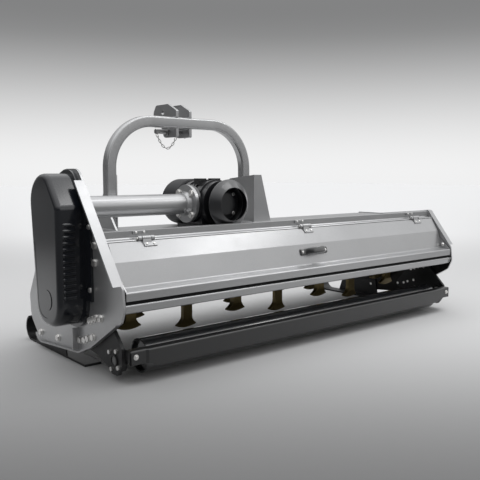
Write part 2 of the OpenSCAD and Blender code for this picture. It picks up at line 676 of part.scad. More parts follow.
// Rotor and hammers
rotor_half = side_x - 12;
rotor_shaft_d = 45;
row_step = 144;
lug_gap = 0.6;
function hammer_x(i) = (i - (hammer_n - 1) / 2) * hammer_pitch;
function row_angle(i) = -90 + row_step * (i - 4);
function wrap(a) = ((a + 180) % 360 + 360) % 360 - 180;
// Direction in which a hammer hangs, limited by its swing
function rest_angle(i) = row_angle(i) + max(-hammer_swing, min(hammer_swing, wrap(-90 - row_angle(i))));
module lug() difference() {
    along_x(0, lug_t) polygon(loop([
        [-24, 38, 0], [24, 38, 0], [17, pivot_r + 17, 15], [-17, pivot_r + 17, 15]]));
    rod_x(-1, lug_t + 2, 0, pivot_r, hammer_bolt_d / 2 + hole_gap / 2);
}
module at_row(i) translate([hammer_x(i), 0, rotor_z]) rotate([row_angle(i) - 90, 0, 0]) children();
module rotor_tube() color("dimgray") difference() {
    union() {
        rod_x(-rotor_half, 2 * rotor_half, 0, rotor_z, rotor_d / 2);
        for (i = [0:hammer_n - 1]) at_row(i) for (s = [-1, 1])
            translate([s * (shank_w / 2 + lug_gap + lug_t / 2) - lug_t / 2, 0, 0]) lug();
    }
    rod_x(-rotor_half - 1, 2 * rotor_half + 2, 0, rotor_z, rotor_d / 2 - rotor_wall);
}
module rotor_stubs() color("gray") for (s = [-1, 1]) {
    rod_x(s > 0 ? rotor_half - 60 : -rotor_half, 60, 0, rotor_z, rotor_d / 2 - rotor_wall - run_gap);
    rod_x(s > 0 ? rotor_half : pulley_x - pulley_w, s > 0 ? outer_x + bearing_h + 3 - rotor_half :
        -rotor_half - pulley_x + pulley_w, 0, rotor_z, rotor_shaft_d / 2);
}
module hammer_bolts() color("lightgray") for (i = [0:hammer_n - 1]) at_row(i) {
    reach = shank_w / 2 + lug_gap + lug_t;
    rod_x(-reach, 2 * reach, 0, pivot_r, hammer_bolt_d / 2);
    for (s = [-1, 1]) translate([s * reach, 0, pivot_r]) rotate([0, 90 * s, 0])
        cylinder(9, hammer_bolt_d * 0.85, hammer_bolt_d * 0.85, $fn = 6);
}
// One hammer: a forged shank with an eye, flaring to a curved cutting edge
eye_r = hammer_bolt_d / 2 + 9;
module hammer(i) color("#6b5a2a")
    translate([hammer_x(i), 0, rotor_z])
        rotate([row_angle(i), 0, 0]) translate([0, pivot_r, 0])
            rotate([rest_angle(i) - row_angle(i), 0, 0]) rotate([90, 0, 0]) mirror([0, 0, 1]) hammer_form();
// The hammer's pivot is at the origin and its cutting edge points along +Z
module hammer_form() difference() {
    union() {
        intersection() {
            along_y(-40, 80) polygon(concat(
                [[-shank_w / 2, 0], [-shank_w / 2, hammer_l * 0.55]],
                [for (t = [0:0.25:1]) [-shank_w / 2 - (hammer_w - shank_w) / 2 * pow(t, 2),
                    hammer_l * (0.58 + 0.29 * t)]],
                [for (t = [-1:0.25:1]) [hammer_w / 2 * t, hammer_l * (0.91 + 0.09 * (1 - t * t))]],
                [for (t = [1:-0.25:0]) [shank_w / 2 + (hammer_w - shank_w) / 2 * pow(t, 2),
                    hammer_l * (0.58 + 0.29 * t)]],
                [[shank_w / 2, hammer_l * 0.55], [shank_w / 2, 0]]));
            along_x(-hammer_w, 2 * hammer_w) polygon([
                [-shank_t / 2, 0], [shank_t / 2, 0], [shank_t / 2, hammer_l * 0.5],
                [shank_t / 2 + 4, hammer_l * 0.85], [shank_t / 2 + 3, hammer_l],
                [shank_t / 2 - 4, hammer_l], [-shank_t / 2 + 1, hammer_l * 0.72],
                [-shank_t / 2, hammer_l * 0.55]]);
        }
        rod_x(-shank_w / 2, shank_w, 0, 0, eye_r);
    }
    rod_x(-shank_w, 2 * shank_w, 0, 0, hammer_bolt_d / 2 + run_gap);
}

// Roller, scraper and skids
bracket_rear = -290;
bracket_outline = [
    [-22, 78, 14], [-20, 104, 12], [-92, 192, 16], [-196, 212, 12], [-254, 152, 6],
    [bracket_rear, 116, 8], [bracket_rear, 62, 10], [-262, 24, 10], [-228, 24, 8], [-208, 38, 12],
    [-120, 66, 30]];
hub_bolts = [[-214, 92], [-257, 102], [-226, 40], [-268, 52]];
hub_bolt_d = 8;
hub_r = 20;
module roller_brackets() color("#3a3d42") both_sides() difference() {
    along_x(-side_x, bracket_t) polygon(loop(bracket_outline, 4));
    rod_x(-side_x - 1, bracket_t + 2, roller_y, roller_z, hub_r + hole_gap);
    for (p = bracket_bolts) rod_x(-side_x - 1, bracket_t + 2, p[0], p[1], bolt_d / 2 + hole_gap);
    for (p = hub_bolts) rod_x(-side_x - 1, bracket_t + 2, p[0], p[1], hub_bolt_d / 2 + hole_gap);
}
// Bearing bolted to the inner face of its bracket, with a hub that passes through it
bearing_t = 14;
module roller_bearings() color("#24272b") both_sides() difference() {
    union() {
        along_x(-side_x + bracket_t, bearing_t) polygon(loop([
            [-204, 92, 10], [-250, 116, 10], [-280, 60, 10], [-270, 38, 10], [-226, 26, 10]], 4));
        rod_x(-side_x - 4, bracket_t + 6, roller_y, roller_z, hub_r);
    }
    rod_x(-side_x - 5, bracket_t + bearing_t + 6, roller_y, roller_z, axle_d / 2 + run_gap);
    for (p = hub_bolts) rod_x(-side_x, bracket_t + bearing_t + 1, p[0], p[1], hub_bolt_d / 2 + hole_gap);
}
module rear_roller() color("#202224") difference() {
    union() {
        rod_x(-roller_half, 2 * roller_half, roller_y, roller_z, roller_d / 2);
        rod_x(-side_x - 2, 2 * side_x + 4, roller_y, roller_z, axle_d / 2);
    }
    for (s = [-1, 1]) difference() {
        rod_x(s > 0 ? 10 : -roller_half - 1, roller_half - 9,
            roller_y, roller_z, roller_d / 2 - roller_wall);
        rod_x(-side_x, 2 * side_x, roller_y, roller_z, axle_d / 2);
        rod_x(s > 0 ? roller_half - 22 : -roller_half + 12, 10, roller_y, roller_z, roller_d / 2 + 1);
    }
}
// Scraper: an angle along the roller, whose blade reaches lower between its ends
scraper_top = 112;
scraper_end_low = 66;
scraper_low = 52;
scraper_t = 5;
scraper_lip = -292;
scraper_half = side_x - bracket_t;
blade_half = scraper_half - 98;
module scraper_bar() color("#2e3135") {
    translate([-scraper_half, scraper_y, scraper_top - scraper_t])
        cube([2 * scraper_half, scraper_lip - scraper_y, scraper_t]);
    along_y(scraper_y, scraper_t) polygon([
        [-scraper_half, scraper_top], [-scraper_half, scraper_end_low],
        [-blade_half - 30, scraper_end_low], [-blade_half, scraper_low],
        [blade_half, scraper_low], [blade_half + 30, scraper_end_low],
        [scraper_half, scraper_end_low], [scraper_half, scraper_top]]);
    both_sides() along_x(-scraper_half, scraper_t) polygon([
        [scraper_y, scraper_top], [scraper_y, scraper_end_low],
        [bracket_rear + 22, scraper_end_low + 30], [bracket_rear + 22, scraper_top]]);
}
skid_rear = -38;
curl_r = 50;
curl_end = 62;
curl_at = [ski_tip_y - curl_r, curl_r];
skid_line = concat([[skid_rear, 0]],
    [for (a = [-90:(90 + curl_end) / 10:curl_end + 0.01]) curl_at + curl_r * [cos(a), sin(a)]]);
module skid() {
    along_x(-side_x, skid_w) polygon(strip(skid_line, skid_t));
    along_x(-side_x, 6) difference() {
        polygon([[105, skid_t], [370, skid_t], [345, 78], [120, 92]]);
        for (p = skid_bolts) translate(p) circle(bolt_d / 2 + hole_gap);
    }
}
module left_skid() color("#161616") skid();
module right_skid() color("#161616") mirror([1, 0, 0]) skid();

// Flap and its handle
module rear_flap() color("silver") difference() {
    union() {
        along_x(-side_x + flap_gap, cutting_w - 2 * flap_gap) polygon(strip(bent([
            [flap_start[0], flap_start[1]], [flap_crease[0], flap_crease[1], 10],
            [flap_foot[0], flap_foot[1], 6], [flap_lip[0], flap_lip[1], 6],
            [flap_end[0], flap_end[1]]]), flap_t));
        both_sides() along_x(side_x - flap_gap - flap_t, flap_t) polygon([
            flap_crease + [2, -20], flap_foot + [1, 1], flap_lip + [3, 1]]);
        for (x = [-hinge_x, 0, hinge_x]) {
            rod_x(x - hinge_w / 4 + 0.5, hinge_w / 2 - 1, hinge_y, hinge_z, knuckle_r);
            along_x(x - hinge_w / 4 + 0.5, hinge_w / 2 - 1) polygon([
                [hinge_y, hinge_z], [hinge_y - knuckle_r * 0.8, hinge_z + 2],
                flap_start - [knuckle_r * 1.2, 12], flap_start + [1, -14], flap_start]);
        }
    }
    for (x = [-hinge_x, 0, hinge_x]) {
        rod_x(x - hinge_w, hinge_w * 2, hinge_y, hinge_z, hinge_pin_d / 2 + run_gap);
        for (s = [-1, 1]) rod_x(x + s * hinge_w * 3 / 8 - hinge_w / 8 - 0.5, hinge_w / 4 + 1,
            hinge_y, hinge_z, knuckle_r + 1.5);
    }
}
// Bow handle on the flap's lower face
handle_w = 136;
handle_out = 36;
handle_rod_d = 13;
handle_mid = (flap_crease * 0.62 + flap_foot * 0.38);
flap_dir = unit(flap_foot - flap_crease);
flap_face = [flap_dir[1], -flap_dir[0]];
handle_seat = handle_mid + flap_face * 0.05;
module flap_handle() color("#202020")
    translate([0, handle_seat[0], handle_seat[1]])
        rotate([atan2(-flap_face[1], -flap_face[0]), 0, 0]) rotate([90, 0, 0]) {
            bend = 20;
            half = handle_w / 2 - handle_rod_d / 2;
            for (s = [-1, 1]) {
                translate([s * half, 0, 0]) cylinder(handle_out - bend, handle_rod_d / 2, handle_rod_d / 2);
                translate([s * half, 0, 0]) cylinder(3, handle_rod_d, handle_rod_d);
                translate([s * (half - bend), 0, handle_out - bend]) rotate([90, s > 0 ? 0 : -90, 0])
                    rotate_extrude(angle = 90) translate([bend, 0]) circle(handle_rod_d / 2);
            }
            translate([-half + bend, 0, handle_out]) rotate([0, 90, 0])
                cylinder(2 * (half - bend), handle_rod_d / 2, handle_rod_d / 2);
        }

// Bolts that hold the frame's pieces together
module frame_bolts() color("lightgray") {
    both_sides() for (p = bracket_bolts) bolt_x(-outer_x, -1, p[0], p[1], bolt_d, side_t + bracket_t);
    both_sides() for (p = skid_bolts) bolt_x(-outer_x, -1, p[0], p[1], bolt_d, side_t + 6);
    both_sides() for (p = hub_bolts) bolt_x(-side_x, -1, p[0], p[1], hub_bolt_d, bracket_t + bearing_t);
    both_sides() for (p = plate_bolts) bolt_x(-outer_x, -1, p[0], p[1], bolt_d, side_t);
    for (a = [45:90:315]) rotate_about_shaft(a)
        bolt_x(flange_x - flange_t, -1, 0, shaft_z + flange_bolt_r, bolt_d, flange_t + bolt_d);
    for (p = cover_bolts) bolt_x(-outer_x - 8, -1, p[0], p[1], 8, 8 + side_t);
}

module placed() translate(frame_shift) children();
placed() deck_sheet();
placed() front_panel();
placed() left_side_plate();
placed() right_side_plate();
placed() hinge_bar();
placed() rear_crossbar();
placed() seal_strip();
placed() hitch_hoop();
placed() hitch_brackets();
placed() top_link_ears();
placed() lower_link_pins();
placed() top_link_pin();
placed() pin_chain();
placed() gearbox_housing();
placed() gearbox_rear_cap();
placed() gearbox_bearings();
placed() rear_guard_cone();
placed() front_guard();
placed() shaft_tube();
placed() belt_cover();
placed() drive_belts();
placed() shaft_bearings();
placed() left_skid();
placed() right_skid();
placed() roller_brackets();
placed() roller_bearings();
placed() scraper_bar();
placed() frame_bolts();
placed() hinge_pins();
placed() rotor_tube();
placed() rotor_stubs();
placed() hammer_bolts();
placed() lower_pulley();
placed() cross_shaft();
placed() upper_pulley();
placed() tractor_shaft();
placed() crown_gear();
placed() rear_roller();
placed() rear_flap();
placed() flap_handle();
for (i = [0:hammer_n - 1])
    placed() hammer(i);
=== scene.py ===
import json
import math

import bmesh
import bpy
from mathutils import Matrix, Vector


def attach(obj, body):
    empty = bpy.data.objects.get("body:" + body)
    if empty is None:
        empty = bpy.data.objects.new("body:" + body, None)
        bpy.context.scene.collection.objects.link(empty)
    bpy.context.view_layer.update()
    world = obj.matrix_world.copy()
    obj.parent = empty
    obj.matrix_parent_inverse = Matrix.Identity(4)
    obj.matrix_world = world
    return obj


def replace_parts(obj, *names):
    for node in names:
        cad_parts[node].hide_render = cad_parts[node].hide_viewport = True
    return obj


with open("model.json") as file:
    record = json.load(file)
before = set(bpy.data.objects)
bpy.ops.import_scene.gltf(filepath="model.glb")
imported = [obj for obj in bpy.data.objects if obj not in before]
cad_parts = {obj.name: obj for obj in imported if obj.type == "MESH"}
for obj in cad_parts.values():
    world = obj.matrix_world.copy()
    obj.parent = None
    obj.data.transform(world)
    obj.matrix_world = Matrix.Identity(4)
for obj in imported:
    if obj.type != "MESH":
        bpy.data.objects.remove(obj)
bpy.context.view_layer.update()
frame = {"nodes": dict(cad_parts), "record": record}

NODES = frame["nodes"]
SLOT_OF = {s["node"]: s["material_slot"] for s in frame["record"]["subparts"]}
scene = bpy.context.scene
scene.view_settings.view_transform = "Standard"
scene.view_settings.look = "None"

# Places that several pieces share, in mm in the machine's own frame: x = 0 at mid-width,
# y = 0 on the drive axis with +y to the tractor, z = 0 on the ground
SIDES = (-1, 1)
INNER_X = 880  # inner faces of the side plates
RIM_X, RIM_Z = 920, 300  # the plates' rims lie outside the one and above the other
HITCH_X = -325  # middle of the hitch and of the gearbox
SHAFT_Z = 538  # axis of the gearbox and of the cross shaft
CAP_Y = -106  # rear face of the flange of the gearbox's cap
HINGES_X = (-737, 0, 737)
BOLT_ANGLES = (45, 135, 225, 315)
SHIFT = Vector((0.035, -0.072, 0.0))  # to the row frame, in metres


def at(x, y, z):
    """A point in the row frame, in metres, given in mm in the machine's own frame."""
    return Vector((x, y, z)) / 1000 + SHIFT


def turned(degrees):
    """Cosine and sine of an angle."""
    a = math.radians(degrees)
    return math.cos(a), math.sin(a)


# Shader nodes

def node(nt, kind, **values):
    """A new node with some of its properties set."""
    n = nt.nodes.new(kind)
    for k, v in values.items():
        setattr(n, k, v)
    return n


def link(nt, source, socket):
    """Joins an output to an input."""
    nt.links.new(source, socket)


def noise(nt, where, scale, detail, roughness=0.5):
    """Soft noise from 0 to 1."""
    n = node(nt, "ShaderNodeTexNoise")
    n.inputs["Scale"].default_value = scale
    n.inputs["Detail"].default_value = detail
    n.inputs["Roughness"].default_value = roughness
    link(nt, where, n.inputs["Vector"])
    return n.outputs["Fac"]


def span(nt, value, lo, hi, to_lo, to_hi, smooth=False):
    """A value mapped from one range to another, clamped."""
    n = node(nt, "ShaderNodeMapRange", interpolation_type="SMOOTHSTEP" if smooth else "LINEAR")
    n.inputs["From Min"].default_value = lo
    n.inputs["From Max"].default_value = hi
    n.inputs["To Min"].default_value = to_lo
    n.inputs["To Max"].default_value = to_hi
    link(nt, value, n.inputs["Value"])
    return n.outputs["Result"]


def math_node(nt, op, a, b=0.0):
    """One operation on two values, each a number or a socket."""
    n = node(nt, "ShaderNodeMath", operation=op)
    for socket, v in zip(n.inputs, (a, b)):
        if isinstance(v, float):
            socket.default_value = v
        else:
            link(nt, v, socket)
    return n.outputs["Value"]


def dot(nt, vector, way):
    """How far a vector reaches in a given direction."""
    n = node(nt, "ShaderNodeVectorMath", operation="DOT_PRODUCT")
    link(nt, vector, n.inputs[0])
    n.inputs[1].default_value = way
    return n.outputs["Value"]


def scaled(nt, vector, factor):
    """A vector or colour times a value."""
    n = node(nt, "ShaderNodeVectorMath", operation="SCALE")
    link(nt, vector, n.inputs[0])
    link(nt, factor, n.inputs["Scale"])
    return n.outputs["Vector"]


def split(nt, vector):
    """The x, y and z of a vector, by their letters."""
    n = node(nt, "ShaderNodeSeparateXYZ")
    link(nt, vector, n.inputs["Vector"])
    return n.outputs


def shader_of(nt):
    """The surface shader of a finish."""
    return next(n for n in nt.nodes if n.type == "BSDF_PRINCIPLED")


# Materials

COAT_ROUGH = 0.12
DRIFT_SCALE, FLAKE_SCALE, GLOSS_SCALE = 3.2, 900.0, 22.0
MID_NOISE = (0.3, 0.7)  # where most of the noise lies
GLOSS_SPREAD = 0.06
BUMP_DEPTH = 0.0006


def coated(name, color, rough, spread, metallic=0.0, flake=0.0, bump=0.0, bump_scale=300.0,
           coat=0.0, spec=0.5):
    """A finish with slow colour drift, uneven gloss and, where given, metal flake and bumps."""
    m = bpy.data.materials.new(name)
    m.use_nodes = True
    nt = m.node_tree
    nt.nodes.clear()
    out = node(nt, "ShaderNodeOutputMaterial")
    b = node(nt, "ShaderNodeBsdfPrincipled")
    link(nt, b.outputs["BSDF"], out.inputs["Surface"])
    b.inputs["Metallic"].default_value = metallic
    b.inputs["Specular IOR Level"].default_value = spec
    b.inputs["Coat Weight"].default_value = coat
    b.inputs["Coat Roughness"].default_value = COAT_ROUGH
    where = node(nt, "ShaderNodeTexCoord").outputs["Object"]
    ramp = node(nt, "ShaderNodeValToRGB")
    link(nt, noise(nt, where, DRIFT_SCALE, 5.0, 0.6), ramp.inputs["Fac"])
    for e, pos, level in zip(ramp.color_ramp.elements, MID_NOISE, (1 - spread, 1 + spread)):
        e.position = pos
        e.color = (*(c * level for c in color), 1)
    colour = ramp.outputs["Color"]
    if flake:
        grain = noise(nt, where, FLAKE_SCALE, 2.0)
        colour = scaled(nt, colour, span(nt, grain, *MID_NOISE, 1 - flake, 1 + flake))
    link(nt, colour, b.inputs["Base Color"])
    gloss = noise(nt, where, GLOSS_SCALE, 4.0)
    link(nt, span(nt, gloss, 0.0, 1.0, rough - GLOSS_SPREAD, rough + GLOSS_SPREAD),
         b.inputs["Roughness"])
    if bump:
        bp = node(nt, "ShaderNodeBump")
        bp.inputs["Strength"].default_value = bump
        bp.inputs["Distance"].default_value = BUMP_DEPTH
        link(nt, noise(nt, where, bump_scale, 3.0), bp.inputs["Height"])
        link(nt, bp.outputs["Normal"], b.inputs["Normal"])
    return m


# One finish for each slot of the record, then four for nodes and pieces that look other than their
# slot
FINISHES = {
    "silver_paint": dict(color=(0.43, 0.432, 0.436), rough=0.31, metallic=0.76, spread=0.04,
                         flake=0.10, bump=0.06, bump_scale=420.0, spec=0.45),
    "black_paint": dict(color=(0.012, 0.0125, 0.0135), rough=0.20, spread=0.15, bump=0.03,
                        coat=1.0, spec=0.9),
    "dark_grey_paint": dict(color=(0.021, 0.021, 0.0215), rough=0.34, metallic=0.2, spread=0.12,
                            bump=0.06, coat=0.5),
    "rubber": dict(color=(0.004, 0.004, 0.004), rough=0.7, spread=0.2, bump=0.2, spec=0.15),
    "cover_plastic": dict(color=(0.0065, 0.0078, 0.0110), rough=0.16, spread=0.1, bump=0.015,
                          coat=0.5),
    "guard_plastic": dict(color=(0.009, 0.0095, 0.0115), rough=0.30, spread=0.12, bump=0.04,
                          coat=0.45, spec=0.8),
    "gearbox_cast": dict(color=(0.009, 0.0095, 0.011), rough=0.30, spread=0.2, bump=0.25,
                         bump_scale=160.0, coat=0.35, spec=0.6),
    "zinc_steel": dict(color=(0.82, 0.81, 0.79), rough=0.32, metallic=0.95, spread=0.08, bump=0.05),
    "bright_steel": dict(color=(0.42, 0.42, 0.42), rough=0.3, metallic=0.95, spread=0.08,
                         bump=0.06),
    "rotor_paint": dict(color=(0.085, 0.08, 0.07), rough=0.45, metallic=0.2, spread=0.2, bump=0.1),
    "forged_steel": dict(color=(0.17, 0.13, 0.050), rough=0.40, metallic=0.6, spread=0.35, bump=0.3,
                         bump_scale=120.0),
    "silver_paint_hoop": dict(color=(0.45, 0.452, 0.456), rough=0.23, metallic=0.78, spread=0.04,
                              flake=0.08, bump=0.05, bump_scale=420.0, spec=0.45),
    "chain_steel": dict(color=(0.30, 0.295, 0.285), rough=0.34, metallic=0.95, spread=0.1,
                        bump=0.05),
    "guard_plastic_matt": dict(color=(0.007, 0.0075, 0.0095), rough=0.42, spread=0.12, bump=0.04,
                               spec=0.35),
    "black_satin_paint": dict(color=(0.0125, 0.0125, 0.013), rough=0.40, spread=0.15, bump=0.05,
                              spec=0.35),
}
LOOK = {name: coated(name, **values) for name, values in FINISHES.items()}
OTHER_LOOK = {"roller_brackets": "black_satin_paint", "roller_bearings": "black_satin_paint",
              "left_skid": "black_satin_paint", "right_skid": "black_satin_paint",
              "front_guard": "guard_plastic_matt", "hitch_hoop": "silver_paint_hoop"}

# Widths of rounded edges, in metres
EDGE = 0.0009
SOFT_EDGE = {"belt_cover": 0.0035, "gearbox_rear_cap": 0.0015, "hitch_hoop": 0.0006,
             "rear_flap": 0.0012, "hinge_bar": 0.0025, "rear_crossbar": 0.0015,
             "left_side_plate": 0.0014, "right_side_plate": 0.0014, "hitch_brackets": 0.002,
             "top_link_ears": 0.0014}
# The casting's edges are too short to round, and smoothing across them blots its rings
AS_MESHED = {"gearbox_housing"}
WELD = 0.00002


def rounded(o, width, segments=3, angle=32):
    """Rounded edges, with shading that keeps flat faces flat."""
    bv = o.modifiers.new("edge", "BEVEL")
    bv.width = width
    bv.segments = segments
    bv.limit_method = "ANGLE"
    bv.angle_limit = math.radians(angle)
    o.modifiers.new("normals", "WEIGHTED_NORMAL")
    return o


def finish_surface(o, name):
    """Rounded edges and smooth curved faces for the mesh of a CAD node."""
    for p in o.data.polygons:
        p.use_smooth = True
    o.modifiers.new("weld", "WELD").merge_threshold = WELD
    rounded(o, SOFT_EDGE.get(name, EDGE), 2, 35)


for name, o in NODES.items():
    o.data.materials.clear()
    o.data.materials.append(LOOK[OTHER_LOOK.get(name, SLOT_OF[name])])
    if name not in AS_MESHED:
        finish_surface(o, name)


# Forms

def circle(centre, u, w, radius, sides, turn=0.0):
    """Points round a circle in the plane of u and w."""
    angles = [2 * math.pi * k / sides + turn for k in range(sides)]
    return [centre + radius * (math.cos(a) * u + math.sin(a) * w) for a in angles]


class Shape:
    """Vertices and faces gathered from several simple forms, in metres in the row frame."""

    def __init__(self):
        self.verts = []
        self.faces = []

    def add(self, rings, faces):
        """Rings of points, and faces that count from the first of them."""
        base = len(self.verts)
        self.verts += [p for ring in rings for p in ring]
        self.faces += [tuple(base + i for i in f) for f in faces]

    def tube(self, rings, closed):
        """A skin along rings of points, with an end face at each end unless it is closed."""
        n, sides = len(rings), len(rings[0])
        faces = []
        for i in range(n if closed else n - 1):
            a, b = i * sides, (i + 1) % n * sides
            for k in range(sides):
                j = (k + 1) % sides
                faces.append((a + k, a + j, b + j, b + k))
        if not closed:
            faces.append(tuple(reversed(range(sides))))
            faces.append(tuple((n - 1) * sides + k for k in range(sides)))
        self.add(rings, faces)

    def sweep(self, path, radii, sides, closed):
        """A round bar along a path, with a radius in metres for each point."""
        n = len(path)
        rings = []
        u = None
        for i, p in enumerate(path):
            before = path[i - 1] if i or closed else p
            after = path[(i + 1) % n] if i < n - 1 or closed else p
            t = (after - before).normalized()
            if u is None:
                u = t.orthogonal()
            u = (u - t * u.dot(t)).normalized()
            rings.append(circle(p, u, t.cross(u), radii[i], sides))
        self.tube(rings, closed)

    def lathe(self, centre, axis, profile, sides, turn=0.0, ring=False):
        """A turned form: profile lists (distance along the axis, radius) in mm.

        It is closed at both ends, or, as a ring, from its last row to its first.
        """
        axis = Vector(axis).normalized()
        u = axis.orthogonal().normalized()
        w = axis.cross(u)
        self.tube([circle(centre + axis * (s / 1000), u, w, r / 1000, sides, turn)
                   for s, r in profile], ring)

    def prism(self, rings):
        """A solid through outlines that all have the same number of points."""
        m = len(rings[0])
        faces = []
        for a in range(0, (len(rings) - 1) * m, m):
            for k in range(m):
                j = (k + 1) % m
                faces.append((a + k, a + m + k, a + m + j, a + j))
        faces.append(tuple(range(m)))
        faces.append(tuple(reversed(range((len(rings) - 1) * m, len(rings) * m))))
        self.add(rings, faces)


# Pieces

def new_object(name, data):
    """An object in the scene for a mesh, a lamp or a camera."""
    o = bpy.data.objects.new(name, data)
    scene.collection.objects.link(o)
    return o


def put(name, shape, look, body, flat=False):
    """A shape as a new piece that rides on a body."""
    me = bpy.data.meshes.new(name)
    me.from_pydata([tuple(v) for v in shape.verts], [], shape.faces)
    me.update()
    o = new_object(name, me)
    me.materials.append(LOOK[look])
    for p in me.polygons:
        p.use_smooth = not flat
    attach(o, body)
    return o


def reshaped(name, new_name, move, cut=None):
    """A copy of a CAD node's mesh that stands for the node, with some of its points moved.

    Where a cut is given as y and z, what lies ahead of the one and above the other is taken off.
    """
    bm = bmesh.new()
    bm.from_mesh(NODES[name].data)
    bmesh.ops.remove_doubles(bm, verts=bm.verts[:], dist=WELD)
    for v in bm.verts:
        v.co = move(v.co.copy())
    if cut:
        y, z = cut
        every = bm.verts[:] + bm.edges[:] + bm.faces[:]
        bmesh.ops.bisect_plane(bm, geom=every, plane_co=(0, y, 0), plane_no=(0, 1, 0), dist=1e-6)
        ahead = [f for f in bm.faces if f.calc_center_median().y > y]
        part = list({v for f in ahead for v in f.verts})
        part += list({e for f in ahead for e in f.edges}) + ahead
        bmesh.ops.bisect_plane(bm, geom=part, plane_co=(0, 0, z), plane_no=(0, 0, 1), dist=1e-6,
                               clear_outer=True)
        bmesh.ops.holes_fill(bm, edges=[e for e in bm.edges if e.is_boundary])
        bmesh.ops.recalc_face_normals(bm, faces=bm.faces[:])
    me = bpy.data.meshes.new(new_name)
    bm.to_mesh(me)
    bm.free()
    o = new_object(new_name, me)
    me.materials.append(LOOK[SLOT_OF[name]])
    finish_surface(o, name)
    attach(o, "frame")
    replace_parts(o, name)
    return o


# Side plates and hitch cheeks: both rims are narrow, the right plate is level with the deck ahead
# of the hinge bar, and the left cheek starts beside the middle of its leg

# Painted shade: a dark colour mixed into the lower inner faces of the side plates, below a given
# height
INNER_SHADE_COLOUR = (0.014, 0.013, 0.012, 1)
INNER_SHADE_Z = (0.29, 0.24)  # where it starts and where it is full, in metres
INNER_SHADE_SKIN = (0.0008, 0.0004)  # the same, measured into the plate
PLATE_CUT = (at(0, -150, 0).y, at(0, 0, 446).z)  # y and z of the right plate's cut
RIGHT_RIM_X, LEFT_RIM_X = 910, -915  # outer edges of the rims as shown
LEFT_CHEEK_X, CHEEK_REAR_Y, CHEEK_SET_Y = (-636, -622), 157, 173
NEAR = 0.002


def narrow(side, edge_x):
    """A move that brings the outer edge of a side plate's rim in to edge_x."""
    def move(p):
        if side * p.x > side * at(side * RIM_X, 0, 0).x and p.z > at(0, 0, RIM_Z).z:
            p.x = at(edge_x, 0, 0).x
        return p
    return move


def set_back(p):
    """A move that takes the left cheek's rear edge towards the tractor."""
    in_cheek = at(LEFT_CHEEK_X[0], 0, 0).x < p.x < at(LEFT_CHEEK_X[1], 0, 0).x
    if in_cheek and abs(p.y - at(0, CHEEK_REAR_Y, 0).y) < NEAR:
        p.y = at(0, CHEEK_SET_Y, 0).y
    return p


def painted_inner_shade(o, side):
    """Painted shade: darkens the lower inner face of a side plate, where the deck's inside lies in
    shade.
    """
    m = o.data.materials[0].copy()
    nt = m.node_tree
    b = shader_of(nt)
    colour = b.inputs["Base Color"].links[0].from_socket
    place = split(nt, node(nt, "ShaderNodeTexCoord").outputs["Object"])
    face = at(side * INNER_X, 0, 0).x
    inner = span(nt, place["X"], *(face + side * d for d in INNER_SHADE_SKIN), 0.0, 1.0)
    lower = span(nt, place["Z"], *INNER_SHADE_Z, 0.0, 1.0)
    mix = node(nt, "ShaderNodeMix", data_type="RGBA")
    link(nt, math_node(nt, "MULTIPLY", inner, lower), mix.inputs["Factor"])
    link(nt, colour, mix.inputs[6])
    mix.inputs[7].default_value = INNER_SHADE_COLOUR
    link(nt, mix.outputs[2], b.inputs["Base Color"])
    o.data.materials[0] = m


# Both side plates get painted shade on their lower inner faces
painted_inner_shade(reshaped("right_side_plate", "right_side_plate_trimmed", narrow(1, RIGHT_RIM_X),
                     PLATE_CUT), 1)
painted_inner_shade(reshaped("left_side_plate", "left_side_plate_shown", narrow(-1, LEFT_RIM_X)), -1)
reshaped("hitch_brackets", "hitch_brackets_shown", set_back)

# Chain of the top link pin, as twisted steel links
LINK_PITCH, LINK_HALF_W, LINK_WIRE = 0.0125, 0.0036, 0.0012
LINK_POINTS = 20
CHAIN_STEPS = 400
CHAIN_FROM, CHAIN_TO, CHAIN_DROP = at(-415, 222, 809.6), at(-357, 169, 796.1), 0.050


def chain_at(t):
    """A point of the hanging chain, for t from 0 to 1."""
    sag = Vector((0, 0, 4 * CHAIN_DROP * t * (1 - t)))
    return CHAIN_FROM + (CHAIN_TO - CHAIN_FROM) * t - sag


fine = [chain_at(i / CHAIN_STEPS) for i in range(CHAIN_STEPS + 1)]
reach = [0.0]
for p, q in zip(fine, fine[1:]):
    reach.append(reach[-1] + (q - p).length)
links = round(reach[-1] / LINK_PITCH)
straight = reach[-1] / links / 2 + LINK_WIRE * 0.9 - LINK_HALF_W  # half of a link's straight part
chain = Shape()
for i in range(links):
    want = (i + 0.5) / links * reach[-1]
    j = min(range(len(fine)), key=lambda k: abs(reach[k] - want))
    t = (fine[min(j + 3, CHAIN_STEPS)] - fine[max(j - 3, 0)]).normalized()
    s = t.cross(Vector((0, 0, 1))).normalized()
    u = s if i % 2 else t.cross(s)
    path = []
    for k in range(LINK_POINTS):
        a = 2 * math.pi * (k + 0.5) / LINK_POINTS
        c = math.cos(a) * LINK_HALF_W + math.copysign(straight, math.cos(a))
        path.append(fine[j] + t * c + u * math.sin(a) * LINK_HALF_W)
    chain.sweep(path, [LINK_WIRE] * LINK_POINTS, 7, True)
o = put("pin_chain_links", chain, SLOT_OF["pin_chain"], "frame")
o.data.materials[0] = LOOK["chain_steel"]
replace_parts(o, "pin_chain")

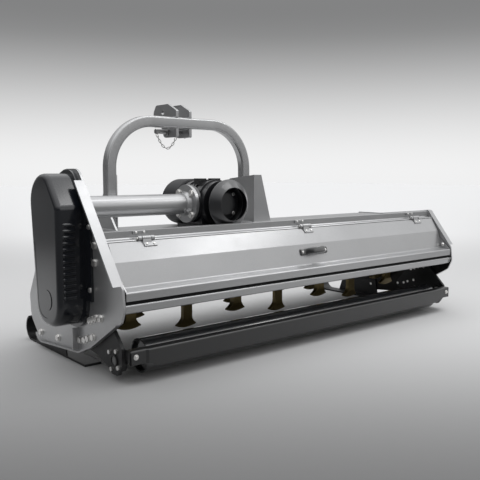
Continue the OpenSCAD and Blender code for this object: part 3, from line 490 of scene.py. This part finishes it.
# Hinge bar: folded bar with an upright rear face, and the fixed knuckles
BAR = [(-154, 468), (-186, 468), (-186, 446), (-190, 442), (-206, 440.5), (-209.5, 437),
       (-154, 437)]
HINGE_AXIS = (-207.5, 444)
KNUCKLE = [(0, 6.5), (1, 8), (14, 8), (15, 6.5)]
KNUCKLES_DX = (-24 - 7.5, 24 - 7.5)
bar = Shape()
bar.prism([[at(x, y, z) for y, z in BAR] for x in (-INNER_X, -440, 0, 440, INNER_X)])
for x in HINGES_X:
    for dx in KNUCKLES_DX:
        bar.lathe(at(x + dx, *HINGE_AXIS), (1, 0, 0), KNUCKLE, 28)
o = rounded(put("hinge_bar_folded", bar, "silver_paint", "frame"), 0.0014)
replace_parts(o, "hinge_bar")

# Hinge leaves with their rivets: one on the bar, one on the flap
FLAP_TOP = (-209.3, 435)
FLAP_DOWN, FLAP_OUT = Vector((0, -0.545, -0.838)), Vector((0, -0.838, 0.545))
RIVET = [(0, 4.5), (1.2, 4.4), (2.2, 3.4), (2.7, 1.5)]
BAR_RIVETS_DX, FLAP_RIVETS_DX = (-26, 4), (-3, 24)
BAR_LEAF_Y, FLAP_LEAF_OUT = (-185.5, -190.5), (-0.3, 4.0)  # root and outer face of each leaf


def on_flap(x, s, out):
    """A point on the flap's upper face: s mm down from its top edge, out mm off the face."""
    return at(x, *FLAP_TOP) + (FLAP_DOWN * s + FLAP_OUT * out) / 1000


def corners(x0, x1, low, high):
    """The corners of a rectangle."""
    return [(x0, low), (x1, low), (x1, high), (x0, high)]


bar_leaf, flap_leaf, rivets_bar, rivets_flap = Shape(), Shape(), Shape(), Shape()
for x in HINGES_X:
    bar_leaf.prism([[at(px, y, pz) for px, pz in corners(x - 38, x + 10, 456, 467.4)]
                    for y in BAR_LEAF_Y])
    flap_leaf.prism([[on_flap(px, s, out) for px, s in corners(x - 13, x + 36, 3, 21)]
                     for out in FLAP_LEAF_OUT])
    for dx in BAR_RIVETS_DX:
        rivets_bar.lathe(at(x + dx, -190.4, 461.5), (0, -1, 0), RIVET, 16)
    for dx in FLAP_RIVETS_DX:
        rivets_flap.lathe(on_flap(x + dx, 13, 3.9), FLAP_OUT, RIVET, 16)
rounded(put("hinge_leaves_fixed", bar_leaf, "silver_paint", "frame"), 0.0012)
rounded(put("hinge_leaves_flap", flap_leaf, "silver_paint", "flap"), 0.0012)
put("hinge_rivets_fixed", rivets_bar, "zinc_steel", "frame")
put("hinge_rivets_flap", rivets_flap, "zinc_steel", "flap")

# Round-headed stop bolts in the flap's end gussets
STOP = [(0, 8.5), (1.6, 8.5), (1.8, 6.8), (3.5, 6.6), (5.5, 5.2), (6.4, 2.2)]
STOP_X, STOP_Y, STOP_Z = 871.2, -278, 314
stops = Shape()
for side in SIDES:
    stops.lathe(at(side * STOP_X, STOP_Y, STOP_Z), (-side, 0, 0), STOP, 24)
put("flap_stop_bolts", stops, "zinc_steel", "flap")

# Guard behind the gearbox: flared ring on a collar, and the bolt heads of the cap inside it
CONE = [(-8, 64), (-8, 72), (15, 74), (16, 89), (18, 91.6), (22, 92.2), (26, 91), (38, 79),
        (50, 66), (53, 63.4), (54, 62), (53.4, 60.6), (50, 61.5), (36, 76), (25, 86.5), (20, 86.5),
        (18, 70.5), (0, 68.5)]
CAP_BOLT_R = 50.5
CAP_HEAD = [(0.4, 7.9), (6.2, 7.9), (7.1, 6.6), (7.1, 3.0), (6.7, 2.0)]
cone = Shape()
cone.lathe(at(HITCH_X, CAP_Y, SHAFT_Z), (0, -1, 0), CONE, 96, ring=True)
o = rounded(put("rear_guard_flared", cone, SLOT_OF["rear_guard_cone"], "frame"), 0.0010)
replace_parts(o, "rear_guard_cone")
heads = Shape()
for a in BOLT_ANGLES:  # the angle also serves as an uneven turn of each head
    c, s = turned(a)
    heads.lathe(at(HITCH_X + CAP_BOLT_R * c, CAP_Y, SHAFT_Z + CAP_BOLT_R * s), (0, -1, 0),
                CAP_HEAD, 6, a)
rounded(put("cap_bolt_heads", heads, "zinc_steel", "frame"), 0.0004, 2)

# Handle: moulded bow with a broad grip and a screwed pad at each end. The bow lists, from its left
# end to its middle, x, distance off the flap, half width and half thickness
MID_DOWN, MID_OUT = Vector((0, -0.28, -0.96)), Vector((0, -0.96, 0.28))
HANDLE_SEAT = at(0, -255.7, 347.4)
BOW = [(-74, 2.6, 11, 2.5), (-70, 2.7, 13.5, 2.6), (-58, 2.8, 13.5, 2.7), (-50, 3.4, 13.2, 3.2),
       (-44, 8.5, 12.8, 4.2), (-39.5, 17.5, 12.6, 4.7), (-34, 25.5, 12.8, 5.0),
       (-25, 30.8, 13.2, 5.3), (-12, 33.2, 13.6, 5.5), (0, 33.8, 13.8, 5.6)]
BOW += [(-x, out, w, t) for x, out, w, t in reversed(BOW[:-1])]
BOW_POINTS = 20
SCREW = [(0, 5.2), (1.2, 5.2), (2.4, 4.2), (3.0, 2.6), (3.0, 1.8), (1.8, 1.5)]
SCREW_X, PAD_OUT = 63, 5.2


def on_handle(x, out):
    """A vector in mm from the handle's seat."""
    return Vector((x, 0, 0)) + MID_OUT * out


rings = []
for i, (x, out, w, t) in enumerate(BOW):
    x0, out0 = BOW[max(i - 1, 0)][:2]
    x1, out1 = BOW[min(i + 1, len(BOW) - 1)][:2]
    up = on_handle(x1 - x0, out1 - out0).cross(MID_DOWN).normalized()
    up = up if up.dot(MID_OUT) > 0 else -up
    ring = []
    for k in range(BOW_POINTS):
        c, s = turned(360 * k / BOW_POINTS)
        across = MID_DOWN * math.copysign(abs(c) ** 0.6, c) * w
        ring.append(HANDLE_SEAT + (on_handle(x, out) + across
                                   + up * math.copysign(abs(s) ** 0.8, s) * t) / 1000)
    rings.append(ring)
bow = Shape()
bow.prism(rings)
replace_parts(put("flap_handle_moulded", bow, SLOT_OF["flap_handle"], "flap"), "flap_handle")
screws = Shape()
for side in SIDES:
    screws.lathe(HANDLE_SEAT + on_handle(side * SCREW_X, PAD_OUT) / 1000, MID_OUT, SCREW, 20)
put("handle_screws", screws, "zinc_steel", "flap")

# Scraper: bent angle, set in at its ends for the bolts, with a lower blade between them. Its
# stations list x, the height of the lower edge and how far the face is set in
SCRAPER_Y, SCRAPER_TOP_Y, SCRAPER_END, TAB_T = -326, -292, 868, 5
STATIONS = [(-SCRAPER_END, 66, 6), (-812, 66, 6), (-804, 66, 0), (-800, 66, 0), (-770, 52, 0)]
STATIONS += [(0, 52, 0)] + [(-x, low, back) for x, low, back in reversed(STATIONS)]
TAB = [(-320, 111), (-320, 66), (-268, 96), (-268, 111)]
SCRAPER_BOLT, BOLT_X, BOLT_Y, BOLT_Z = 7.4, 847, -319.9, 91
# Profiles of a bolt in shares of its size
BOLT_WASHER = [(0, 1.05), (0, 1.22), (0.14, 1.22), (0.17, 1.17), (0.17, 0.9)]
BOLT_HEAD = [(0.17, 0.9), (0.72, 0.9), (0.8, 0.78), (0.8, 0.45), (0.77, 0.40)]
scraper, ends = Shape(), Shape()
rings = []
for x, low, back in STATIONS:
    y = SCRAPER_Y + back
    rings.append([at(x, *p) for p in (
        (SCRAPER_TOP_Y, 107), (SCRAPER_TOP_Y, 112), (y + 7, 112), (y + 3.2, 111), (y + 1, 108.6),
        (y, 105), (y, low + 1), (y + 1, low), (y + 5, low), (y + 5, 105), (y + 6, 107))])
scraper.prism(rings)
for side in SIDES:
    tab_x = sorted((side * SCRAPER_END, side * (SCRAPER_END - TAB_T)))
    scraper.prism([[at(x, y, z) for y, z in TAB] for x in tab_x])
    seat = at(side * BOLT_X, BOLT_Y, BOLT_Z)
    for profile, sides, turn in ((BOLT_WASHER, 28, 0.0), (BOLT_HEAD, 6, 0.3)):
        sized = [(s * SCRAPER_BOLT, r * SCRAPER_BOLT) for s, r in profile]
        ends.lathe(seat, (0, -1, 0), sized, sides, turn)
o = rounded(put("scraper_bent", scraper, SLOT_OF["scraper_bar"], "frame"), 0.0010)
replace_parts(o, "scraper_bar")
rounded(put("scraper_bolts", ends, "zinc_steel", "frame"), 0.0004, 2)

# Washers under the bolt heads of the side plates, the belt cover and the shaft tube's flange
WASHER = [(-0.3, 9.5), (-0.3, 13.2), (1.5, 13.2), (1.9, 12.6), (1.9, 9.5)]
SMALL_WASHER = [(s * 0.8, r * 0.68) for s, r in WASHER]
SIDE_BOLTS = [(-176, 193), (-146, 189), (-124, 181), (-104, 174), (-121, 121), (-86, 110),
              (-63, 101), (-27, 94), (150, 66), (300, 58), (-146, 424), (-143, 368)]
COVER_BOLTS = [(-123, 278), (-123, 482)]
FLANGE_BOLT_R = 58
SIDE_FACE_X, COVER_FLANGE_X, TUBE_FLANGE_X = 888, -896, -434
washers = Shape()
for side in SIDES:
    for y, z in SIDE_BOLTS:
        washers.lathe(at(side * SIDE_FACE_X, y, z), (side, 0, 0), WASHER, 26)
for y, z in COVER_BOLTS:
    washers.lathe(at(COVER_FLANGE_X, y, z), (-1, 0, 0), SMALL_WASHER, 22)
for a in BOLT_ANGLES:
    c, s = turned(a)
    seat = at(TUBE_FLANGE_X, -FLANGE_BOLT_R * s, SHAFT_Z + FLANGE_BOLT_R * c)
    washers.lathe(seat, (-1, 0, 0), WASHER, 26)
put("bolt_washers", washers, "zinc_steel", "frame", True)

# Weld beads of the hitch, the shaft tube, the crossbar and the hinge bar
DECK_Z = 443.4  # centre of a bead on the deck
BEAD_STEP = 0.0014
LEGS_X, LEG_Y, LEG_BEAD_Z, LEG_BEND = (-655, 5), 176, 443.6, 9.6
EAR_FACES_X, EAR_BEADS_Z = (-363.4, -350.6, -299.4, -286.6), (876.4, 831.6)
CHEEK_FACES = ((-25.4, 84), (-16.6, 84), (-633.4, 200), (-624.6, 200), (-685.4, 85))  # x, first y
CHEEK_LAST_Y = 221
GUSSET_Y, GUSSET_X = 71.6, (-22, 70)
PLATE_BEAD_X = 879.2
CROSSBAR_END, BAR_END = ((-317, 253), (-311, 231)), ((-186.4, 464), (-186.4, 448))
beads = Shape()


def bead(points, r, closed=False):
    """A rippled weld bead of radius r along points, in mm in the machine's own frame."""
    pts = [at(*p) for p in points]
    line = [pts[0]]
    for a, b in zip(pts, pts[1:] + (pts[:1] if closed else [])):
        steps = max(1, round((b - a).length / BEAD_STEP))
        line += [a + (b - a) * (k + 1) / steps for k in range(steps)]
    if closed:
        line.pop()
    radii = [r / 1000 * (0.9 + 0.16 * math.sin(2.1 * i) + 0.08 * math.sin(0.37 * i + 1))
             for i in range(len(line))]
    if not closed:
        radii[0] *= 0.6
        radii[-1] *= 0.6
    beads.sweep(line, radii, 8, closed)


def round_shaft(x, r, n=60):
    """Points round the cross shaft's axis."""
    turns = [turned(360 * k / n) for k in range(n)]
    return [(x, r * c, SHAFT_Z + r * s) for c, s in turns]


for x in LEGS_X:
    leg = []
    for cx, cy, start in ((1, 1, 0), (-1, 1, 90), (-1, -1, 180), (1, -1, 270)):
        for k in range(5):
            c, s = turned(start + 22.5 * k)
            leg.append((x + cx * 13 + LEG_BEND * c, LEG_Y + cy * 10 + LEG_BEND * s, LEG_BEAD_Z))
    bead(leg, 3.4, True)
for x, y in CHEEK_FACES:
    bead([(x, y, DECK_Z), (x, CHEEK_LAST_Y, DECK_Z)], 3.0)
bead([(x, GUSSET_Y, DECK_Z) for x in GUSSET_X], 3.0)
for x in EAR_FACES_X:
    for z in EAR_BEADS_Z:
        bead([(x, 161, z), (x, 193, z)], 2.4)
bead(round_shaft(-879.4, 38.5), 3.4, True)
bead(round_shaft(-450.4, 38.4), 2.4, True)
for side in SIDES:
    bead([(side * PLATE_BEAD_X, y, z) for y, z in CROSSBAR_END], 2.6)
    bead([(side * PLATE_BEAD_X, y, z) for y, z in BAR_END], 2.4)
put("weld_beads", beads, "silver_paint", "frame")

# Stage: the floor's colour holds painted light and shade. It is pale near the machine and darker
# towards the camera, and at its far end it is bright in the heading of the backdrop and dark to the
# sides, so that it fades into the backdrop
AHEAD, RIGHT_REAR = (0.64, 0.768, 0.0), (0.64, -0.768, 0.0)
FLOOR_HALF = 30
# Each of these ranges, and of the ones for the studio, maps its first two values to its last two
FLOOR_FADE = (1.6, 5.0, 0.0, 1.0)
FLOOR_NEAR_SHADE = (-1.8, 0.1, 0.13, 0.55)
FLOOR_FAR_LIGHT_AND_SHADE = (0.45, 0.97, 0.15, 0.79)
floor_mesh = bpy.data.meshes.new("floor")
floor_mesh.from_pydata([(x * FLOOR_HALF, y * FLOOR_HALF, 0)
                        for x, y in ((-1, -1), (1, -1), (1, 1), (-1, 1))], [], [(0, 1, 2, 3)])
floor = new_object("floor", floor_mesh)
floor_mat = coated("floor", (0.42, 0.42, 0.423), 0.75, spread=0.01, spec=0.15)
floor.data.materials.append(floor_mat)

ft = floor_mat.node_tree
place = node(ft, "ShaderNodeTexCoord").outputs["Object"]
length = node(ft, "ShaderNodeVectorMath", operation="LENGTH")
link(ft, place, length.inputs[0])
far = length.outputs["Value"]
forward = dot(ft, place, AHEAD)
heading = math_node(ft, "DIVIDE", forward, math_node(ft, "MAXIMUM", far, 0.01))
fade = node(ft, "ShaderNodeMix")
link(ft, span(ft, far, *FLOOR_FADE, True), fade.inputs["Factor"])
# painted shade: darker towards the camera
link(ft, span(ft, forward, *FLOOR_NEAR_SHADE, True), fade.inputs[2])
# painted light ahead towards the backdrop, painted shade to the sides
link(ft, span(ft, heading, *FLOOR_FAR_LIGHT_AND_SHADE, True), fade.inputs[3])
grey = node(ft, "ShaderNodeCombineColor")
for socket in grey.inputs[:3]:
    link(ft, fade.outputs[0], socket)
link(ft, grey.outputs["Color"], shader_of(ft).inputs["Base Color"])

# Studio: bright ceiling, darker walls, a pale backdrop ahead of the machine and a soft panel at
# its right rear. The sky lists heights, from 0 straight down to 1 straight up, and levels
SKY = ((0.0, 0.15), (0.5, 0.15), (0.60, 0.17), (0.635, 0.25), (0.67, 0.52), (0.78, 0.85),
       (0.87, 1.50), (1.0, 1.70))
SKY_TINT = (0.985, 0.99, 1.0)
SKY_GAIN = 2.0  # the ramp holds colours up to 1, so the levels are halved in it
LEFT_DIM = (-0.75, 0.1, 0.80, 1.0)
BACKDROP, BACKDROP_TOP = (0.45, 0.97, 0.0, 0.735), (0.0, 0.26, 1.0, 0.0)
PANEL = (0.40, 0.90, 0.0, 0.60)
PANEL_FOOT, PANEL_TOP = (-0.02, 0.10, 0.0, 1.0), (0.36, 0.62, 1.0, 0.0)
world = bpy.data.worlds.new("studio")
scene.world = world
world.use_nodes = True
wt = world.node_tree
wt.nodes.clear()
world_out = node(wt, "ShaderNodeOutputWorld")
background = node(wt, "ShaderNodeBackground")
way = node(wt, "ShaderNodeTexCoord").outputs["Generated"]
xyz = split(wt, way)
sky = node(wt, "ShaderNodeValToRGB")
link(wt, span(wt, xyz["Z"], -1.0, 1.0, 0.0, 1.0), sky.inputs["Fac"])
marks = sky.color_ramp.elements
while len(marks) < len(SKY):
    marks.new(0.5)
for e, (pos, level) in zip(marks, SKY):
    e.position = pos
    e.color = (*(level / SKY_GAIN * c for c in SKY_TINT), 1)
side_gain = span(wt, xyz["X"], *LEFT_DIM, True)
walls = scaled(wt, sky.outputs["Color"], math_node(wt, "MULTIPLY", side_gain, SKY_GAIN))
height = math_node(wt, "ABSOLUTE", xyz["Z"])
backdrop = math_node(wt, "MULTIPLY", span(wt, dot(wt, way, AHEAD), *BACKDROP, True),
                     span(wt, height, *BACKDROP_TOP, True))
rise = math_node(wt, "MULTIPLY", span(wt, xyz["Z"], *PANEL_FOOT, True),
                 span(wt, xyz["Z"], *PANEL_TOP, True))
panel = math_node(wt, "MULTIPLY", span(wt, dot(wt, way, RIGHT_REAR), *PANEL, True), rise)
shine = math_node(wt, "ADD", backdrop, panel)
glow = node(wt, "ShaderNodeCombineXYZ")
for socket in glow.inputs[:3]:
    link(wt, shine, socket)
light = node(wt, "ShaderNodeVectorMath", operation="ADD")
link(wt, walls, light.inputs[0])
link(wt, glow.outputs["Vector"], light.inputs[1])
link(wt, light.outputs["Vector"], background.inputs["Color"])
background.inputs["Strength"].default_value = 1.0
link(wt, background.outputs["Background"], world_out.inputs["Surface"])


STRIP_WIDTH = 0.32


def aim(o, way):
    """Points a lamp or a camera in a direction."""
    o.rotation_euler = way.to_track_quat("-Z", "Y").to_euler()


def strip_lamp(name, loc, target, length, power):
    """A long narrow area lamp that points at a target."""
    lamp = bpy.data.lights.new(name, "AREA")
    lamp.shape = "RECTANGLE"
    lamp.size = length
    lamp.size_y = STRIP_WIDTH
    lamp.energy = power
    o = new_object(name, lamp)
    o.location = loc
    aim(o, Vector(target) - Vector(loc))


strip_lamp("rear_strip", (2.4, -1.4, 3.1), (0.0, -0.2, 0.3), 3.4, 17)
strip_lamp("top_strip", (0.35, -1.0, 3.0), (-0.1, -0.1, 0.5), 1.8, 5.5)

cam_data = bpy.data.cameras.new("camera")
cam_data.sensor_width = 36.0
cam_data.lens = 48.05
cam_data.clip_end = 100.0
cam = new_object("camera", cam_data)
cam.location = at(-1834, -1993, 654)
aim(cam, Vector((0.63889, 0.76221, -0.10418)))
scene.camera = cam
